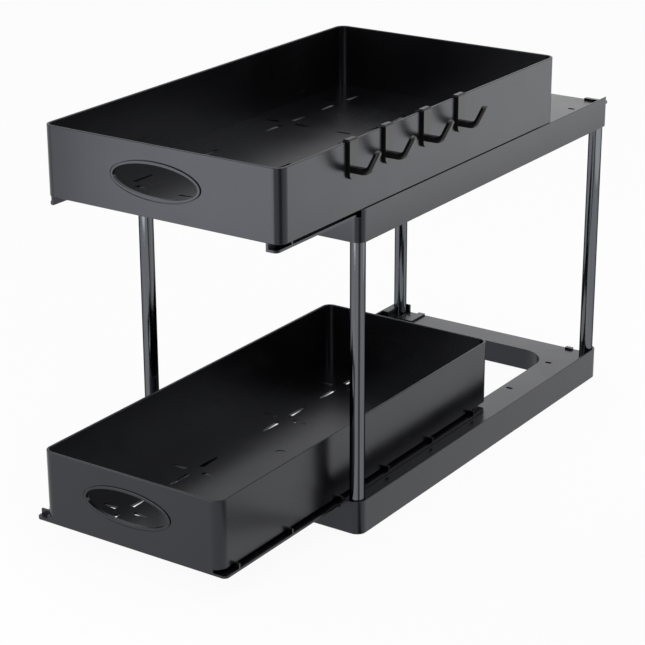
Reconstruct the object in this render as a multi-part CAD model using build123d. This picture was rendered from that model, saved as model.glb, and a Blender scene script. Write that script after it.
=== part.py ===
from build123d import *
import os
from math import cos, radians, sin

# Two-tier under sink organizer. Two moulded frames are held apart by four round tubes, and each
# frame carries a shallow tray that slides forwards. Four J hooks hang on the upper tray's rim.
# Sizes are in millimetres. X runs to the right, Y to the back and Z up.

# Frames
frame_width = 218.2
frame_length = 401.5
frame_corner_radius = 8.0
frame_edge_radius = 0.5
deck_height = 20.0
deck_thickness = 2.0
skirt_thickness = 1.8
base_height = 27.8
top_height = 26.2
tier_spacing = 239.9

# Corner guards of the base, which reach inwards past the tubes
guard_reach = 1.1
front_right_guard_reach = 4.1

# Opening through each deck
opening_side_band = 35.6
opening_end_band = 25.75
opening_corner_radius = 27.0

# Ribs under the decks
rib_thickness = 1.5
rib_depth = 9.0
side_rib_shares = (-0.34, -0.12, 0.12, 0.34)

# Stops at the back of the decks, which the rails meet
stop_height = 1.7
pad_length = 24.5
pad_inset = 31.5
pad_slot_length = 5.8
pad_slot_width = 9.7
ledge_length = 30.0
lip_length = 4.0
base_lip_width = 6.8
top_lip_inset = 22.6

# Oblong holes through the decks
hole_length = 6.4
hole_width = 3.6
base_hole_inset = 27.9
base_hole_row_shares = (0.2115, 0.3928)
top_hole_inset = 17.7
top_hole_row_shares = (0.4067,)

# Legs, their end plugs and their sockets
leg_diameter = 12.0
leg_wall = 1.0
leg_inset = 8.0
socket_clearance = 0.15
socket_wall = 2.4
socket_floor = 3.0
plug_head = 1.5
plug_stem = 12.0
plug_clearance = 0.05
plug_bore_diameter = 5.0

# Rubber feet
foot_diameter = 12.5
foot_thickness = 1.8
foot_recess = 1.0
foot_clearance = 0.1

# Trays
tray_height = 55.8
tray_wall = 2.0
tray_floor = 2.0
tray_corner_radius = 8.5
tray_rim_radius = 0.6
tray_bottom_radius = 0.6
upper_tray_side_inset = 0.7
upper_tray_end_inset = 1.1
upper_pulled_out = 101.0
lower_tray_leg_gap = 10.9
lower_tray_end_inset = 13.0
lower_pulled_out = 147.0

# Rails under the trays. Each is a web and a flange that points outwards to a guard or a rim
running_gap = 0.3
rail_thickness = 2.0
rail_corner_radius = 4.0
rail_stop_gap = 0.5
upper_rail_height = 6.2
lower_rail_height = 4.5
upper_left_rail_gap = 1.4
upper_right_rail_gap = 2.6
lower_left_rail_gap = 0.5
lower_right_rail_gap = 2.3
upper_left_flange_width = 5.2
upper_right_flange_width = 9.6
lower_left_flange_width = 13.4
lower_right_flange_width = 13.7

# Gussets between the rails and the tray sides
gusset_thickness = 1.6
gusset_pitch_share = 0.1806
gusset_rise = 1.5
lower_left_gusset_start = 6.3
right_gusset_start = 16.3
lower_gusset_count = 6
upper_gusset_start = 18.0

# Oval finger holes
oval_width = 78.0
oval_height = 25.0
oval_bead = 2.2
oval_bead_proud = 0.8
oval_bead_radius = 0.5
oval_groove = 0.8
oval_groove_depth = 0.5
oval_shift = 2.5
oval_rise_share = 0.514

# Cross-shaped drain slots in the tray floors
cross_gap = 8.4
cross_reach_across = 21.8
cross_reach_along = 31.0
slot_inner_width = 4.4
slot_outer_width = 2.0
upper_cross_place_share = 0.3298
upper_cross_row_shares = (0.1297, 0.3384, 0.6594, 0.8661)
lower_cross_place_share = 0.2173
lower_cross_row_shares = (0.0991, 0.3244, 0.6508, 0.8691)
gate_diameter = 8.3
gate_depth = 0.4

# Hooks
hook_width = 10.4
hook_plate = 2.3
hook_lip = 1.4
hook_lip_drop = 11.0
hook_cap = 1.7
hook_drop = 28.7
hook_clearance = 0.3
hook_corner_radius = 2.0
arm_width = 6.6
arm_tip_width = 5.4
arm_root_drop = 18.8
arm_root_height = 5.0
arm_flat = 8.0
arm_angle = 64.0
arm_outer_radius = 10.0
arm_outer_rise = 14.6
arm_inner_radius = 6.0
arm_inner_rise = 12.9
arm_edge_radius = 1.8
hook_place_shares = (0.2203, 0.3402, 0.4745, 0.6019)

# Cuts run past the faces they open by this much
overrun = 5.0

# Places worked out from the sizes above
leg_radius = leg_diameter / 2
leg_x = frame_width / 2 - leg_inset
leg_y = frame_length / 2 - leg_inset
guard_edge = leg_x - leg_radius - guard_reach
front_right_guard_edge = leg_x - leg_radius - front_right_guard_reach
rim_edge = frame_width / 2 - skirt_thickness
socket_radius = leg_radius + socket_clearance
base_bottom = foot_thickness - foot_recess
top_bottom = base_bottom + tier_spacing
deck_underside = deck_height - deck_thickness
upper_tray_width = frame_width - 2 * upper_tray_side_inset
upper_tray_length = frame_length - upper_tray_end_inset
lower_tray_width = 2 * (leg_x - leg_radius - lower_tray_leg_gap)
lower_tray_length = frame_length - lower_tray_end_inset
upper_rail_length = frame_length - lip_length - rail_stop_gap
lower_rail_length = frame_length - pad_length - rail_stop_gap
upper_front = -frame_length / 2 - upper_pulled_out
lower_front = -frame_length / 2 - lower_pulled_out
upper_bottom = top_bottom + deck_height + running_gap + upper_rail_height
lower_bottom = base_bottom + deck_height + running_gap + lower_rail_height
corner_signs = {"front_left": (-1, -1), "front_right": (1, -1), "rear_left": (-1, 1), "rear_right": (1, 1)}


def block(x_range, y_range, z_range):
    """A box from its two limits along each axis."""
    sides = [high - low for low, high in (x_range, y_range, z_range)]
    middle = [(low + high) / 2 for low, high in (x_range, y_range, z_range)]
    return Pos(*middle) * Box(*sides)


def rounded_prism(width, length, radius, low, high):
    """An upright prism with rounded corners, centred on the Z axis."""
    return Pos(0, 0, low) * extrude(RectangleRounded(width, length, radius), high - low)


def edges_at_height(solid, height):
    """The edges that lie flat at one height."""
    flat = solid.edges().filter_by_position(Axis.Z, height, height)
    return flat


# Frame made of a deck, an outer skirt, an inner skirt round the opening and four leg sockets
def frame_shell(height):
    outline = rounded_prism(frame_width, frame_length, frame_corner_radius, 0, height)
    inner_radius = frame_corner_radius - skirt_thickness
    inner_width = frame_width - 2 * skirt_thickness
    inner_length = frame_length - 2 * skirt_thickness
    below = rounded_prism(inner_width, inner_length, inner_radius, -overrun, deck_underside)
    above = rounded_prism(inner_width, inner_length, inner_radius, deck_height, height + overrun)
    shell = outline - below - above
    shell += opening_prism(skirt_thickness, 0, deck_height)
    shell += side_ribs()
    sockets = Sketch() + [Pos(sx * leg_x, sy * leg_y) * Circle(socket_radius + socket_wall)
                          for sx, sy in corner_signs.values()]
    shell += extrude(sockets, deck_underside) & outline
    return shell - opening_prism(0, -overrun, height + overrun)


def opening_prism(grow, low, high):
    width = frame_width - 2 * opening_side_band + 2 * grow
    length = frame_length - 2 * opening_end_band + 2 * grow
    return rounded_prism(width, length, opening_corner_radius + grow, low, high)


def side_ribs():
    outer = frame_width / 2 - skirt_thickness / 2
    inner = frame_width / 2 - opening_side_band + skirt_thickness / 2
    ribs = []
    for share in side_rib_shares:
        y = share * frame_length
        for near, far in ((-outer, -inner), (inner, outer)):
            across = (y - rib_thickness / 2, y + rib_thickness / 2)
            ribs.append(block((near, far), across, (deck_underside - rib_depth, deck_underside)))
    return ribs


def rear_stop(left, right, length):
    """A low step on the deck at its back edge, from one x to another."""
    back = frame_length / 2
    rise = (deck_height - deck_thickness / 2, deck_height + stop_height)
    return block((left, right), (back - length, back), rise)


def deck_holes(inset, row_shares):
    place = frame_width / 2 - inset
    slots = Sketch() + [Pos(side * place, end * share * frame_length) * SlotOverall(hole_length, hole_width)
                        for side in (-1, 1) for share in row_shares for end in (-1, 1)]
    return Pos(0, 0, deck_underside - overrun) * extrude(slots, deck_thickness + 2 * overrun)


def leg_bores(low, high):
    bores = Sketch() + [Pos(sx * leg_x, sy * leg_y) * Circle(socket_radius)
                        for sx, sy in corner_signs.values()]
    return Pos(0, 0, low) * extrude(bores, high - low)


def rim_gap(left, right, height):
    """What opens the rims at the front and back so that a tray can pass, from one x to another."""
    past = frame_length / 2 + overrun
    return block((left, right), (-past, past), (deck_height, height + overrun))


def base_frame():
    outline = rounded_prism(frame_width, frame_length, frame_corner_radius, 0, base_height)
    ledge = outline & block((-frame_width, -leg_x), (frame_length / 2 - ledge_length, frame_length),
                            (deck_underside, base_height))
    shell = frame_shell(base_height) + ledge - rim_gap(-guard_edge, front_right_guard_edge, base_height)
    rear_gap = block((0, guard_edge), (0, frame_length / 2 + overrun), (deck_height, base_height + overrun))
    shell = fillet(edges_at_height(shell - rear_gap, base_height), frame_edge_radius)
    pad_edge = frame_width / 2 - pad_inset
    slot_edge = guard_edge - pad_slot_width
    pad = rear_stop(-guard_edge, -pad_edge, pad_length)
    pad -= block((-guard_edge, -slot_edge), (frame_length / 2 - pad_slot_length, frame_length / 2 + overrun),
                 (deck_height, base_height))
    shell += pad
    shell += rear_stop(pad_edge, pad_edge + base_lip_width, lip_length)
    shell -= deck_holes(base_hole_inset, base_hole_row_shares)
    shell -= leg_bores(socket_floor, base_height + overrun)
    recesses = Sketch() + [Pos(sx * leg_x, sy * leg_y) * Circle(foot_diameter / 2 + foot_clearance)
                           for sx, sy in corner_signs.values()]
    shell -= extrude(recesses, foot_recess)
    return Pos(0, 0, base_bottom) * shell


def top_frame():
    shell = frame_shell(top_height) - rim_gap(-rim_edge, rim_edge, top_height)
    shell = fillet(edges_at_height(shell, top_height), frame_edge_radius)
    lip_edge = frame_width / 2 - top_lip_inset
    shell += [rear_stop(*sorted((side * lip_edge, side * rim_edge)), lip_length) for side in (-1, 1)]
    shell -= deck_holes(top_hole_inset, top_hole_row_shares)
    shell -= leg_bores(-overrun, deck_underside)
    return Pos(0, 0, top_bottom) * shell


# Legs with a plug in each end, and the feet below them
leg_seat = base_bottom + socket_floor
leg_ceiling = top_bottom + deck_underside
tube_length = leg_ceiling - leg_seat - 2 * plug_head


def leg_tube(sx, sy):
    section = Circle(leg_radius) - Circle(leg_radius - leg_wall)
    return Pos(sx * leg_x, sy * leg_y, leg_seat + plug_head) * extrude(section, tube_length)


def tube_plug(sx, sy, end, direction):
    """A plug whose head meets the socket at height end and whose stem points along direction."""
    stem_radius = leg_radius - leg_wall - plug_clearance
    plug = extrude(Circle(leg_radius), plug_head)
    plug += Pos(0, 0, plug_head) * extrude(Circle(stem_radius), plug_stem)
    plug -= Pos(0, 0, plug_head) * extrude(Circle(plug_bore_diameter / 2), plug_stem + overrun)
    if direction < 0:
        plug = Rot(180, 0, 0) * plug
    return Pos(sx * leg_x, sy * leg_y, end) * plug


def rubber_foot(sx, sy):
    disc = extrude(Circle(foot_diameter / 2), foot_thickness)
    return Pos(sx * leg_x, sy * leg_y, 0) * chamfer(disc.edges().group_by(Axis.Z)[0], foot_thickness / 4)


# Trays are made about their own centre, with their underside at zero, and then placed
def tray_shell(width, length):
    outline = rounded_prism(width, length, tray_corner_radius, 0, tray_height)
    outline = fillet(edges_at_height(outline, 0), tray_bottom_radius)
    cavity_radius = tray_corner_radius - tray_wall
    cavity = rounded_prism(width - 2 * tray_wall, length - 2 * tray_wall, cavity_radius,
                           tray_floor, tray_height + overrun)
    shell = outline - cavity
    return fillet(edges_at_height(shell, tray_height), tray_rim_radius)


def oval_bead_ring(length):
    face = Plane.XZ * Ellipse(oval_width / 2 + oval_bead, oval_height / 2 + oval_bead)
    ring = extrude(face, oval_bead_proud + tray_wall / 2)
    ring = fillet(ring.edges().group_by(Axis.Y)[0], oval_bead_radius)
    return Pos(-oval_shift, tray_wall / 2 - length / 2, oval_rise_share * tray_height) * ring


def oval_groove_ring(length):
    """A fine groove in the wall round the bead."""
    inner = Ellipse(oval_width / 2 + oval_bead, oval_height / 2 + oval_bead)
    outer = Ellipse(oval_width / 2 + oval_bead + oval_groove, oval_height / 2 + oval_bead + oval_groove)
    ring = extrude(Plane.XZ * (outer - inner), oval_groove_depth, both=True)
    return Pos(-oval_shift, -length / 2, oval_rise_share * tray_height) * ring


def oval_hole(length):
    hole = extrude(Plane.XZ * Ellipse(oval_width / 2, oval_height / 2), overrun, both=True)
    return Pos(-oval_shift, -length / 2, oval_rise_share * tray_height) * hole


def cross_slots(places, rows):
    """Four tapered slots at each place, wide towards the middle of the cross."""
    half_in = slot_inner_width / 2
    half_out = slot_outer_width / 2
    arms = []
    for turn, reach in ((0, cross_reach_across), (90, cross_reach_along),
                        (180, cross_reach_across), (270, cross_reach_along)):
        outline = Polyline((cross_gap, -half_in), (reach, -half_out), (reach, half_out),
                           (cross_gap, half_in), close=True)
        arms.append(Rot(0, 0, turn) * make_face(outline))
    cross = Sketch() + arms
    crosses = Sketch() + [Pos(x, y) * cross for x in places for y in rows]
    return Pos(0, 0, -overrun) * extrude(crosses, tray_floor + 2 * overrun)


def rail(side, tip, flange_width, front, length, height):
    """An upright web under the floor, with a flange that points outwards from its foot to its tip."""
    web_inner = tip - flange_width
    ends = (front, front + length)
    web_limits = sorted((side * web_inner, side * (web_inner + rail_thickness)))
    web = block(web_limits, ends, (-height, tray_floor / 2))
    flange_limits = sorted((side * web_inner, side * tip))
    flange = block(flange_limits, ends, (-height, rail_thickness - height))
    corners = flange.edges().filter_by(Axis.Z).sort_by(Axis.X)
    corners = corners[-2:] if side > 0 else corners[:2]
    return web + fillet(corners, rail_corner_radius)


def gussets(side, tip, flange_width, front, starts, height, rise):
    """Thin upright plates across a flange, at distances from the front of the tray."""
    across = sorted((side * (tip - flange_width), side * tip))
    plates = []
    for start in starts:
        y = front + start
        plates.append(block(across, (y, y + gusset_thickness), (rail_thickness / 2 - height, rise)))
    return plates


def upper_tray():
    width = upper_tray_width
    length = upper_tray_length
    front = -length / 2
    shell = tray_shell(width, length)
    last = upper_rail_length - upper_gusset_start
    for side, gap, flange_width in ((-1, upper_left_rail_gap, upper_left_flange_width),
                                    (1, upper_right_rail_gap, upper_right_flange_width)):
        place = (side, rim_edge - gap, flange_width, front)
        starts = (upper_gusset_start, upper_rail_length / 2, last)
        shell += rail(*place, upper_rail_length, upper_rail_height)
        shell += gussets(*place, starts, upper_rail_height, tray_floor / 2)
    shell += oval_bead_ring(length)
    shell -= oval_groove_ring(length)
    shell -= oval_hole(length)
    across = upper_cross_place_share * width
    rows = [(share - 1 / 2) * length for share in upper_cross_row_shares]
    shell -= cross_slots((-across, 0, across), rows)
    return Pos(0, upper_front + length / 2, upper_bottom) * shell


def lower_tray():
    width = lower_tray_width
    length = lower_tray_length
    front = -length / 2
    shell = tray_shell(width, length)
    left_tip = guard_edge - lower_left_rail_gap
    right_tip = front_right_guard_edge - lower_right_rail_gap
    for side, tip, flange_width, first in ((-1, left_tip, lower_left_flange_width, lower_left_gusset_start),
                                           (1, right_tip, lower_right_flange_width, right_gusset_start)):
        place = (side, tip, flange_width, front)
        steps = [step * gusset_pitch_share * lower_rail_length for step in range(lower_gusset_count)]
        shell += rail(*place, lower_rail_length, lower_rail_height)
        shell += gussets(*place, [first + step for step in steps], lower_rail_height, gusset_rise)
    skirt_sides = (lower_left_flange_width - left_tip, right_tip - lower_right_flange_width)
    shell += block(skirt_sides, (front, front + rail_thickness), (-lower_rail_height, tray_floor / 2))
    shell += oval_bead_ring(length)
    shell -= oval_groove_ring(length)
    shell -= oval_hole(length)
    across = lower_cross_place_share * width
    rows = [(share - 1 / 2) * length for share in lower_cross_row_shares]
    shell -= cross_slots((-across, across), rows)
    shell -= Pos(0, 0, tray_floor - gate_depth) * extrude(Circle(gate_diameter / 2), gate_depth + overrun)
    return Pos(0, lower_front + length / 2, lower_bottom) * shell


# Hook made with the outer face of the tray wall at x = 0 and the top of the rim at z = 0
def hook_saddle():
    half = hook_width / 2
    plate_outer = hook_clearance + hook_plate
    lip_inner = -tray_wall - hook_clearance - hook_lip
    cap_top = hook_clearance + hook_cap
    round_centre = half - hook_drop
    outline = Pos(0, (cap_top + round_centre) / 2) * Rectangle(hook_width, cap_top - round_centre)
    outline += Pos(0, round_centre) * Circle(half)
    plate = Pos(hook_clearance, 0, 0) * extrude(Plane.YZ * outline, hook_plate)
    cap = block((lip_inner, plate_outer), (-half, half), (hook_clearance, cap_top))
    lip_outer = lip_inner + hook_lip
    lip = block((lip_inner, lip_outer), (-half, half), (-hook_lip_drop, cap_top))
    saddle = plate + cap + lip
    corners = saddle.edges().filter_by(Axis.Y).group_by(Axis.Z)[-1]
    return fillet(corners, hook_corner_radius)


def hook_arm():
    """A horn that runs out from the plate, curls upwards and narrows to its tip."""
    root = hook_clearance + hook_plate / 2
    face = hook_clearance + hook_plate
    top = -arm_root_drop
    low = top - arm_root_height
    outer_line = Line((root, low), (face + arm_flat, low))
    outer_arc = JernArc(outer_line @ 1, (1, 0), arm_outer_radius, arm_angle)
    inner_line = Line((root, top), (face + arm_flat, top))
    inner_arc = JernArc(inner_line @ 1, (1, 0), arm_inner_radius, arm_angle)
    way = Vector(cos(radians(arm_angle)), sin(radians(arm_angle)))
    outer_rise = Line(outer_arc @ 1, outer_arc @ 1 + way * arm_outer_rise)
    inner_rise = Line(inner_arc @ 1, inner_arc @ 1 + way * arm_inner_rise)
    tip = Line(outer_rise @ 1, inner_rise @ 1)
    back = Line(outer_line @ 0, inner_line @ 0)
    profile = make_face([outer_line, outer_arc, outer_rise, tip, inner_rise, inner_arc, inner_line, back])
    arm = extrude(Plane.XZ * profile, arm_width / 2, both=True)
    return arm & arm_taper((inner_rise @ 1).Y, low)


def arm_taper(tip_height, low):
    """The outline that narrows the arm from its root to its tip, seen along X."""
    half = arm_width / 2
    half_tip = arm_tip_width / 2
    outline = Polyline((-half, low), (half, low), (half_tip, tip_height), (-half_tip, tip_height),
                       close=True)
    reach = arm_flat + arm_outer_radius + arm_outer_rise + hook_plate
    return extrude(Plane.YZ * make_face(outline), reach)


def j_hook(share):
    arm = hook_arm()
    far = [edge for edge in arm.edges() if edge.center().X > hook_clearance + hook_plate]
    hook = hook_saddle() + fillet(far, arm_edge_radius)
    place = upper_front + share * upper_tray_length
    return Pos(upper_tray_width / 2, place, upper_bottom + tray_height) * hook


# Every piece by the name of its file
pieces = {"base_frame": base_frame(), "top_frame": top_frame()}
pieces["upper_tray"] = upper_tray()
pieces["lower_tray"] = lower_tray()
for corner, signs in corner_signs.items():
    pieces["leg_tube_" + corner] = leg_tube(*signs)
    pieces["lower_tube_plug_" + corner] = tube_plug(*signs, leg_seat, 1)
    pieces["upper_tube_plug_" + corner] = tube_plug(*signs, leg_ceiling, -1)
    pieces["rubber_foot_" + corner] = rubber_foot(*signs)
for number, share in enumerate(hook_place_shares, start=1):
    pieces["rim_hook_" + str(number)] = j_hook(share)

# The origin is the middle of the underside of the whole organizer, as it stands
whole = Compound(children=[Compound(piece.solids()) for piece in pieces.values()]).bounding_box()
to_origin = Pos(-whole.center().X, -whole.center().Y, 0)

os.makedirs("parts", exist_ok=True)
for name, piece in pieces.items():
    export_step(to_origin * piece, "parts/" + name + ".step")
print("shift to the origin:", round(-whole.center().X, 3), round(-whole.center().Y, 3))
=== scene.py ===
import math
import bpy
import numpy as np
from mathutils import Matrix, Vector

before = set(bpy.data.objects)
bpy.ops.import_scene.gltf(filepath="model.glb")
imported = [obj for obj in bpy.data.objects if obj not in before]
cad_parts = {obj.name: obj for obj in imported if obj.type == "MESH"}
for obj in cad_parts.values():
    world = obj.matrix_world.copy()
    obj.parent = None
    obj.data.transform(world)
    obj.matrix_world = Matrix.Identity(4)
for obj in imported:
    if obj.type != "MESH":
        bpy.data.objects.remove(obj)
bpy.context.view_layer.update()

# Looks for a two-tier under sink organizer in black plastic. Everything is in metres.
print("frame loaded:", len(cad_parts), "nodes")
scene = bpy.context.scene
millimetre = 0.001


# Camera: turned by yaw about the vertical, tipped down by pitch and rolled about its own axis
cameraSettings = {
    "place": (0.88884, -1.3441, 0.7295),   # from the points measured in the photo
    "yaw": 34.182,
    "pitch": 20.758,
    "roll": -0.185,
    "lens": 115.64,
    "sensor": 36.0,
    "nearest": 0.01,
    "farthest": 50.0,
}


def makeCamera(settings):
    # forward = (-sin yaw cos pitch, cos yaw cos pitch, -sin pitch), right = (cos yaw, sin yaw, 0)
    # and up = right x forward; the roll then turns right and up about forward
    yaw, pitch, roll = (math.radians(settings[key]) for key in ("yaw", "pitch", "roll"))
    forward = np.array([-math.sin(yaw) * math.cos(pitch), math.cos(yaw) * math.cos(pitch), -math.sin(pitch)])
    right = np.array([math.cos(yaw), math.sin(yaw), 0.0])
    up = np.cross(right, forward)
    rolledRight = right * math.cos(roll) + up * math.sin(roll)
    rolledUp = up * math.cos(roll) - right * math.sin(roll)
    data = bpy.data.cameras.new("photoCamera")
    data.lens = settings["lens"]
    data.sensor_width = settings["sensor"]
    data.sensor_fit = "HORIZONTAL"
    data.clip_start, data.clip_end = settings["nearest"], settings["farthest"]
    camera = bpy.data.objects.new("photoCamera", data)
    scene.collection.objects.link(camera)
    turn = Matrix(np.stack([rolledRight, rolledUp, -forward], axis=1).tolist())
    camera.matrix_world = Matrix.Translation(settings["place"]) @ turn.to_4x4()
    scene.camera = camera


makeCamera(cameraSettings)
print("camera placed")


def linearColour(hexText):
    # sRGB to linear: c / 12.92 below 0.04045, and ((c + 0.055) / 1.055) ^ 2.4 above
    shares = np.array([int(hexText[i:i + 2], 16) for i in (1, 3, 5)]) / 255
    linear = np.where(shares <= 0.04045, shares / 12.92, ((shares + 0.055) / 1.055) ** 2.4)
    return (*linear.tolist(), 1.0)


def addNode(tree, kind, settings=(), links=()):
    # one shader node: settings fill its sockets or properties by name, links join its sockets to other outputs
    node = tree.nodes.new("ShaderNode" + kind)
    for key, value in dict(settings).items():
        if isinstance(key, int) or key in node.inputs:
            node.inputs[key].default_value = value
        else:
            setattr(node, key, value)
    for key, source in dict(links).items():
        tree.links.new(source, node.inputs[key])
    return node


def newMaterial(name):
    # an empty node tree with its output
    material = bpy.data.materials.new(name)
    material.use_nodes = True
    tree = material.node_tree
    tree.nodes.clear()
    output = addNode(tree, "OutputMaterial")
    return material, tree, output


def frequency(size):
    # pattern scale = 1 / size, from millimetres
    return 1 / (size * millimetre)


def addRamp(tree, factor, stops, dark, light):
    # colour = dark up to the first stop, blending evenly to light at the second
    ramp = addNode(tree, "ValToRGB", (), {"Fac": factor})
    for element, stop, hexText in zip(ramp.color_ramp.elements, stops, (dark, light)):
        element.position = stop
        element.color = linearColour(hexText)
    return ramp.outputs["Color"]


def addRange(tree, value, source, low, high):
    # result = low to high, as the value goes from one end of source to the other, held there past its ends
    node = addNode(tree, "MapRange", {"From Min": source[0], "From Max": source[1], "To Min": low,
                                      "To Max": high}, {"Value": value})
    return node.outputs["Result"]


def addBump(tree, height, strength, depth):
    # normal = the surface's own, tipped by strength x the slope of height x depth in millimetres
    node = addNode(tree, "Bump", {"Strength": strength, "Distance": depth * millimetre}, {"Height": height})
    return node.outputs["Normal"]


def addSurface(tree, output, constants, colour, rough, normal):
    # the principled shader of one finish, joined to the output
    shader = addNode(tree, "BsdfPrincipled", constants,
                     {"Base Color": colour, "Roughness": rough, "Normal": normal})
    tree.links.new(shader.outputs["BSDF"], output.inputs["Surface"])


# Trays and frames: black polypropylene, injection-moulded in a spark-eroded mould.
# The eye gets a deep black body under a satin skin, broad soft reflections, faint flow clouds and fine grain.
polypropylene = {
    "body": "#070708",
    "cloud": "#0c0c0d",
    "ramp": (0.35, 0.72),      # shares of the flow noise where the cloud begins and is full
    "ior": 1.55,
    "coolSheen": "#eef1ff",    # carbon black makes the gloss a little blue
    "roughLow": 0.22,
    "roughHigh": 0.28,
    "roughSpan": (0.3, 0.7),   # of the flow noise
    "grain": 0.8,        # mm between the grain's pits, about four times as coarse as real so that they show
    "grainDepth": 0.02,  # mm
    "grainStrength": 0.35,
    "flow": 70.0,        # mm across a flow cloud
    "flowTwist": 0.6,
    "rub": 0.9,          # mm between the rub lines along the slide
    "rubLong": 60.0,     # mm along a rub line
    "rubSpan": (0.62, 0.8),
    "rubRough": 0.015,   # what a rub line adds to the roughness
}


def mouldedPolypropylene(settings):
    # colour = two blacks blended by a slow noise; roughness = slow noise + stretched rub noise;
    # bump = fine noise
    material, tree, output = newMaterial("mouldedPolypropyleneSatin")
    place = addNode(tree, "TexCoord").outputs["Object"]
    flow = addNode(tree, "TexNoise", {"Scale": frequency(settings["flow"]), "Detail": 3.0, "Roughness": 0.55,
                                      "Distortion": settings["flowTwist"]}, {"Vector": place}).outputs["Fac"]
    colour = addRamp(tree, flow, settings["ramp"], settings["body"], settings["cloud"])
    across, along = frequency(settings["rub"]), frequency(settings["rubLong"])
    stretch = addNode(tree, "Mapping", {"Scale": (across, along, across)}, {"Vector": place})
    rub = addNode(tree, "TexNoise", {"Scale": 1.0, "Detail": 2.0}, {"Vector": stretch.outputs["Vector"]})
    rubRough = addRange(tree, rub.outputs["Fac"], settings["rubSpan"], 0.0, settings["rubRough"])
    flowRough = addRange(tree, flow, settings["roughSpan"], settings["roughLow"], settings["roughHigh"])
    rough = addNode(tree, "Math", {"operation": "ADD"}, {0: flowRough, 1: rubRough}).outputs["Value"]
    grain = addNode(tree, "TexNoise", {"Scale": frequency(settings["grain"]), "Detail": 2.0, "Roughness": 0.6},
                    {"Vector": place}).outputs["Fac"]
    normal = addBump(tree, grain, settings["grainStrength"], settings["grainDepth"])
    addSurface(tree, output, {"IOR": settings["ior"], "Metallic": 0.0,
                              "Specular Tint": linearColour(settings["coolSheen"])}, colour, rough, normal)
    return material


# Legs: drawn steel tube, plated black. The eye gets a dark mirror with bright bands, which fades at its edges.
blackPlate = {
    "body": "#63656a",
    "worn": "#6c6e72",
    "edge": "#0e0e10",
    "ramp": (0.4, 0.7),    # shares of the draw noise where the worn tone begins and is full
    "roughLow": 0.07,
    "roughHigh": 0.14,
    "roughSpan": (0.0, 0.8),
    "ripple": 1.6,         # mm across a ripple of the plating
    "rippleDepth": 0.006,  # mm
    "rippleStrength": 0.25,
    "draw": 0.5,           # mm between draw lines, about ten times as coarse as real so that they show
    "drawLong": 200,       # how many times longer than wide a draw line is
}


def platedSteelTube(settings):
    # colour = two dark metals blended by draw lines along the tube; roughness and bump = soft cells of
    # the plating
    material, tree, output = newMaterial("blackPlatedSteelTube")
    place = addNode(tree, "TexCoord").outputs["Object"]
    across = frequency(settings["draw"])
    stretch = addNode(tree, "Mapping", {"Scale": (across, across, across / settings["drawLong"])},
                      {"Vector": place})
    lines = addNode(tree, "TexNoise", {"Scale": 1.0, "Detail": 2.0}, {"Vector": stretch.outputs["Vector"]})
    colour = addRamp(tree, lines.outputs["Fac"], settings["ramp"], settings["body"], settings["worn"])
    cells = addNode(tree, "TexVoronoi", {"feature": "SMOOTH_F1", "Scale": frequency(settings["ripple"])},
                    {"Vector": place}).outputs["Distance"]
    rough = addRange(tree, cells, settings["roughSpan"], settings["roughLow"], settings["roughHigh"])
    normal = addBump(tree, cells, settings["rippleStrength"], settings["rippleDepth"])
    addSurface(tree, output, {"Metallic": 1.0, "Specular Tint": linearColour(settings["edge"])},
               colour, rough, normal)
    return material


# Hooks: black ABS from a polished mould. The eye gets a near-black body with sharp bright edges.
hookAbs = {
    "body": "#08080a",
    "cloud": "#0d0d0f",
    "ramp": (0.35, 0.7),
    "ior": 1.48,
    "roughLow": 0.2,
    "roughHigh": 0.28,
    "roughSpan": (0.3, 0.7),
    "flow": 12.0,        # mm across a flow cloud
    "haze": 0.7,         # mm across a spot of haze
    "hazeDepth": 0.01,   # mm
    "hazeStrength": 0.15,
}


def polishedAbs(settings):
    # colour = two blacks blended by a slow noise; roughness and bump = fine haze noise
    material, tree, output = newMaterial("polishedAbsBlack")
    place = addNode(tree, "TexCoord").outputs["Object"]
    flow = addNode(tree, "TexNoise", {"Scale": frequency(settings["flow"]), "Detail": 2.0}, {"Vector": place})
    colour = addRamp(tree, flow.outputs["Fac"], settings["ramp"], settings["body"], settings["cloud"])
    haze = addNode(tree, "TexNoise", {"Scale": frequency(settings["haze"]), "Detail": 1.0},
                   {"Vector": place}).outputs["Fac"]
    rough = addRange(tree, haze, settings["roughSpan"], settings["roughLow"], settings["roughHigh"])
    normal = addBump(tree, haze, settings["hazeStrength"], settings["hazeDepth"])
    addSurface(tree, output, {"IOR": settings["ior"], "Metallic": 0.0}, colour, rough, normal)
    return material


# Feet: moulded nitrile rubber. The eye gets a dull charcoal with bloom in soft patches.
footRubber = {
    "body": "#141414",
    "bloom": "#262625",
    "ramp": (0.4, 0.75),
    "ior": 1.52,
    "roughLow": 0.66,
    "roughHigh": 0.8,
    "roughSpan": (0.3, 0.7),
    "patch": 3.5,       # mm across a patch of bloom
    "pit": 0.5,         # mm between pits
    "pitDepth": 0.02,   # mm
    "pitStrength": 0.3,
}
# Plugs: moulded polyethylene. The eye gets a waxy grey-black with a little milkiness.
plugPolyethylene = {
    "body": "#1a1a1b",
    "bloom": "#2a2a2c",
    "ramp": (0.4, 0.75),
    "ior": 1.51,
    "roughLow": 0.44,
    "roughHigh": 0.58,
    "roughSpan": (0.3, 0.7),
    "patch": 5.0,
    "pit": 0.9,
    "pitDepth": 0.02,
    "pitStrength": 0.3,
}


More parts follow.
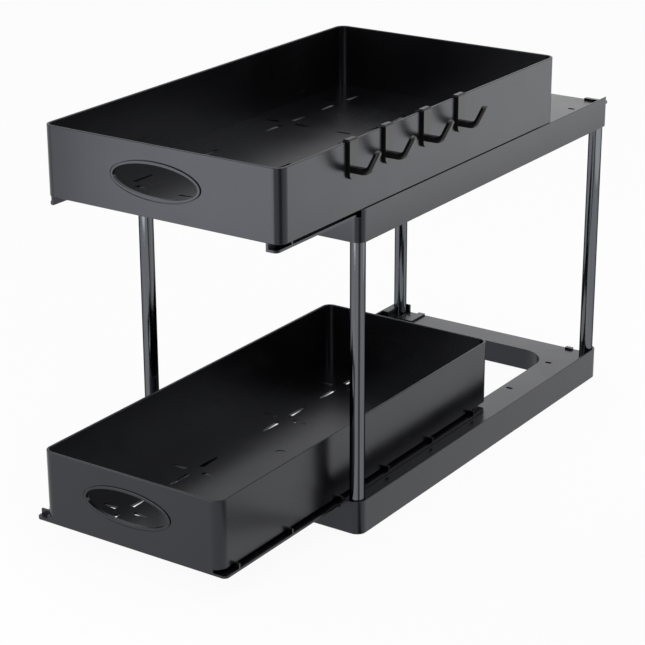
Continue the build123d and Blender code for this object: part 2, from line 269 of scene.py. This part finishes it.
def patchyPolymer(name, settings):
    # colour and roughness = two tones blended by a soft noise; bump = pits from a cell noise
    material, tree, output = newMaterial(name)
    place = addNode(tree, "TexCoord").outputs["Object"]
    patch = addNode(tree, "TexNoise", {"Scale": frequency(settings["patch"]), "Detail": 3.0},
                    {"Vector": place}).outputs["Fac"]
    colour = addRamp(tree, patch, settings["ramp"], settings["body"], settings["bloom"])
    pits = addNode(tree, "TexVoronoi", {"Scale": frequency(settings["pit"])}, {"Vector": place})
    rough = addRange(tree, patch, settings["roughSpan"], settings["roughLow"], settings["roughHigh"])
    normal = addBump(tree, pits.outputs["Distance"], settings["pitStrength"], settings["pitDepth"])
    addSurface(tree, output, {"IOR": settings["ior"], "Metallic": 0.0}, colour, rough, normal)
    return material


satin = mouldedPolypropylene(polypropylene)
plug = patchyPolymer("mouldedPolyethylenePlug", plugPolyethylene)
finishByPrefix = {
    "base_frame": satin,
    "top_frame": satin,
    "upper_tray": satin,
    "lower_tray": satin,
    "leg_tube": platedSteelTube(blackPlate),
    "rim_hook": polishedAbs(hookAbs),
    "rubber_foot": patchyPolymer("mouldedNitrileRubber", footRubber),
    "lower_tube_plug": plug,
    "upper_tube_plug": plug,
}
for nodeName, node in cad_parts.items():
    finish = next(look for prefix, look in finishByPrefix.items() if nodeName.startswith(prefix))
    for slot in node.material_slots:
        slot.material = finish
print("finishes set on", len(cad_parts), "nodes")


# Studio: a pale floor, a white world and soft panels round the part. A painted dark reflection: mirror rays see
# a dark sector painted into the floor and the world, which draws the dark line down each tube and each rounded
# corner.
studio = {
    "floorColour": "#f4f4f4",
    "floorSize": 12.0,
    "whiteShare": 0.94,      # how much of the floor's look is plain white, the rest keeps the shadow
    "mirrorShare": 0.75,     # the same for the floor in mirror rays
    "floorMirror": 1.0,      # strength of the white that mirror rays meet below the horizon
    "skyMirror": 0.75,       # and above it
    "worldStrength": 0.45,   # of the light that the world gives
    # painted dark reflection: mirror rays see the floor darker in a fan from this point, and the world darker
    # in the same directions
    "paintedDarkFrom": (0.089, -0.119, 0.0),   # foot of the near tube
    "paintedDarkAzimuth": -34.0,    # degrees from +X
    "paintedDarkHalf": 14.0,        # degrees each side
    "paintedDarkSoft": 6.0,         # degrees over which its edge fades
    "paintedDarkShade": 0.08,
    "panels": (
        # name, place, point that it faces, width, height, radiance
        ("overheadPanel", (0.2, 0.2, 2.2), (0.0, 0.0, 0.16), 1.6, 1.6, 1.5),
        ("rightPanel", (0.30, 0.35, 0.32), (0.0, 0.35, 0.32), 0.75, 0.39, 0.85),
        ("frontLeftPanel", (-0.176, -0.60, 0.29), (-0.176, 0.0, 0.29), 0.48, 0.46, 2.1),
        ("backLeftPanel", (-0.50, 1.25, 0.45), (0.09, 0.25, 0.02), 0.4, 0.35, 0.6),
    ),
}


def unitDirection(azimuth):
    # (cos azimuth, sin azimuth, 0)
    angle = math.radians(azimuth)
    return (math.cos(angle), math.sin(angle), 0.0)


def paintedReflectionTone(tree, direction, settings, white):
    # white, falling to white x the painted dark shade where the direction lies within the painted dark
    # reflection's half angle of its azimuth
    flat = addNode(tree, "VectorMath", {"operation": "MULTIPLY", 1: (1.0, 1.0, 0.0)}, {0: direction})
    level = addNode(tree, "VectorMath", {"operation": "NORMALIZE"}, {0: flat.outputs["Vector"]})
    paintedDarkHeading = unitDirection(settings["paintedDarkAzimuth"])
    cosine = addNode(tree, "VectorMath", {"operation": "DOT_PRODUCT", 1: paintedDarkHeading}, {0: level.outputs["Vector"]})
    low, high = (math.cos(math.radians(settings["paintedDarkHalf"] + side * settings["paintedDarkSoft"])) for side in (1, -1))
    tone = addNode(tree, "MapRange", {"interpolation_type": "SMOOTHSTEP", "From Min": low, "From Max": high,
                                      "To Min": white, "To Max": white * settings["paintedDarkShade"]},
                   {"Value": cosine.outputs["Value"]})
    return tone.outputs["Result"]


def whiteStrength(tree, direction, settings, white):
    # seen = 1 for camera, glossy and transmission rays; strength = 1, or for glossy rays the white with its
    # painted dark reflection
    rays = addNode(tree, "LightPath")
    plain = addNode(tree, "Math", {"operation": "MAXIMUM"},
                    {0: rays.outputs["Is Camera Ray"], 1: rays.outputs["Is Transmission Ray"]})
    mirrored = addNode(tree, "Math", {"operation": "MULTIPLY"},
                       {0: rays.outputs["Is Glossy Ray"], 1: paintedReflectionTone(tree, direction, settings, white)})
    strength = addNode(tree, "Math", {"operation": "MAXIMUM"},
                       {0: plain.outputs["Value"], 1: mirrored.outputs["Value"]})
    seen = addNode(tree, "Math", {"operation": "MAXIMUM"},
                   {0: plain.outputs["Value"], 1: rays.outputs["Is Glossy Ray"]})
    return seen.outputs["Value"], strength.outputs["Value"]


def makeFloor(settings):
    # a flat square at z = 0 whose material is white to the camera and to mirror and glass rays, with a painted
    # dark reflection in a fan on it for mirror rays
    half = settings["floorSize"] / 2
    corners = np.array([(-half, -half, 0), (half, -half, 0), (half, half, 0), (-half, half, 0)])
    mesh = bpy.data.meshes.new("studioFloor")
    mesh.from_pydata(corners.tolist(), [], [(0, 1, 2, 3)])
    floor = bpy.data.objects.new("studioFloor", mesh)
    scene.collection.objects.link(floor)
    material, tree, output = newMaterial("paleFloor")
    place = addNode(tree, "TexCoord").outputs["Object"]
    offset = addNode(tree, "VectorMath", {"operation": "SUBTRACT", 1: settings["paintedDarkFrom"]}, {0: place})
    seen, strength = whiteStrength(tree, offset.outputs["Vector"], settings, settings["floorMirror"])
    glossy = addNode(tree, "LightPath").outputs["Is Glossy Ray"]
    whiteness = addNode(tree, "MapRange", {"To Min": settings["whiteShare"], "To Max": settings["mirrorShare"]},
                        {"Value": glossy})
    share = addNode(tree, "Math", {"operation": "MULTIPLY"}, {0: seen, 1: whiteness.outputs["Result"]})
    matt = addNode(tree, "BsdfDiffuse", {"Color": linearColour(settings["floorColour"])})
    white = addNode(tree, "Emission", {"Color": (1, 1, 1, 1)}, {"Strength": strength})
    mix = addNode(tree, "MixShader", (), {"Fac": share.outputs["Value"], 1: matt.outputs["BSDF"],
                                          2: white.outputs["Emission"]})
    tree.links.new(mix.outputs["Shader"], output.inputs["Surface"])
    material.cycles.emission_sampling = "NONE"   # the white is only seen and mirrored, it isn't a lamp
    mesh.materials.append(material)


def makeWorld(settings):
    # strength = 1 to the eye, a white with a painted dark reflection sector in mirrors, and worldStrength for
    # the light that falls on the part
    world = bpy.data.worlds.new("whiteStudio")
    scene.world = world
    world.use_nodes = True
    world.cycles.sampling_method = "NONE"   # so that mirror rays meet the full white
    tree = world.node_tree
    tree.nodes.clear()
    direction = addNode(tree, "TexCoord").outputs["Generated"]
    seen, white = whiteStrength(tree, direction, settings, settings["skyMirror"])
    unseen = addNode(tree, "Math", {"operation": "SUBTRACT", 0: 1.0}, {1: seen})
    strength = addNode(tree, "Math", {"operation": "MULTIPLY_ADD", 1: settings["worldStrength"]},
                       {0: unseen.outputs["Value"], 2: white})
    back = addNode(tree, "Background", {"Color": (1, 1, 1, 1)}, {"Strength": strength.outputs["Value"]})
    output = addNode(tree, "OutputWorld", (), {"Surface": back.outputs["Background"]})
    output.is_active_output = True


def makePanel(name, place, target, width, height, radiance):
    # a soft panel: watts = pi x radiance x area
    data = bpy.data.lights.new(name, "AREA")
    data.shape = "RECTANGLE"
    data.size, data.size_y = width, height
    data.energy = math.pi * radiance * width * height
    panel = bpy.data.objects.new(name, data)
    scene.collection.objects.link(panel)
    panel.location = place
    panel.rotation_mode = "QUATERNION"
    panel.rotation_quaternion = (Vector(target) - Vector(place)).to_track_quat("-Z", "Y")


makeFloor(studio)
makeWorld(studio)
for panel in studio["panels"]:
    makePanel(*panel)
scene.view_settings.view_transform = "Standard"
print("studio set")
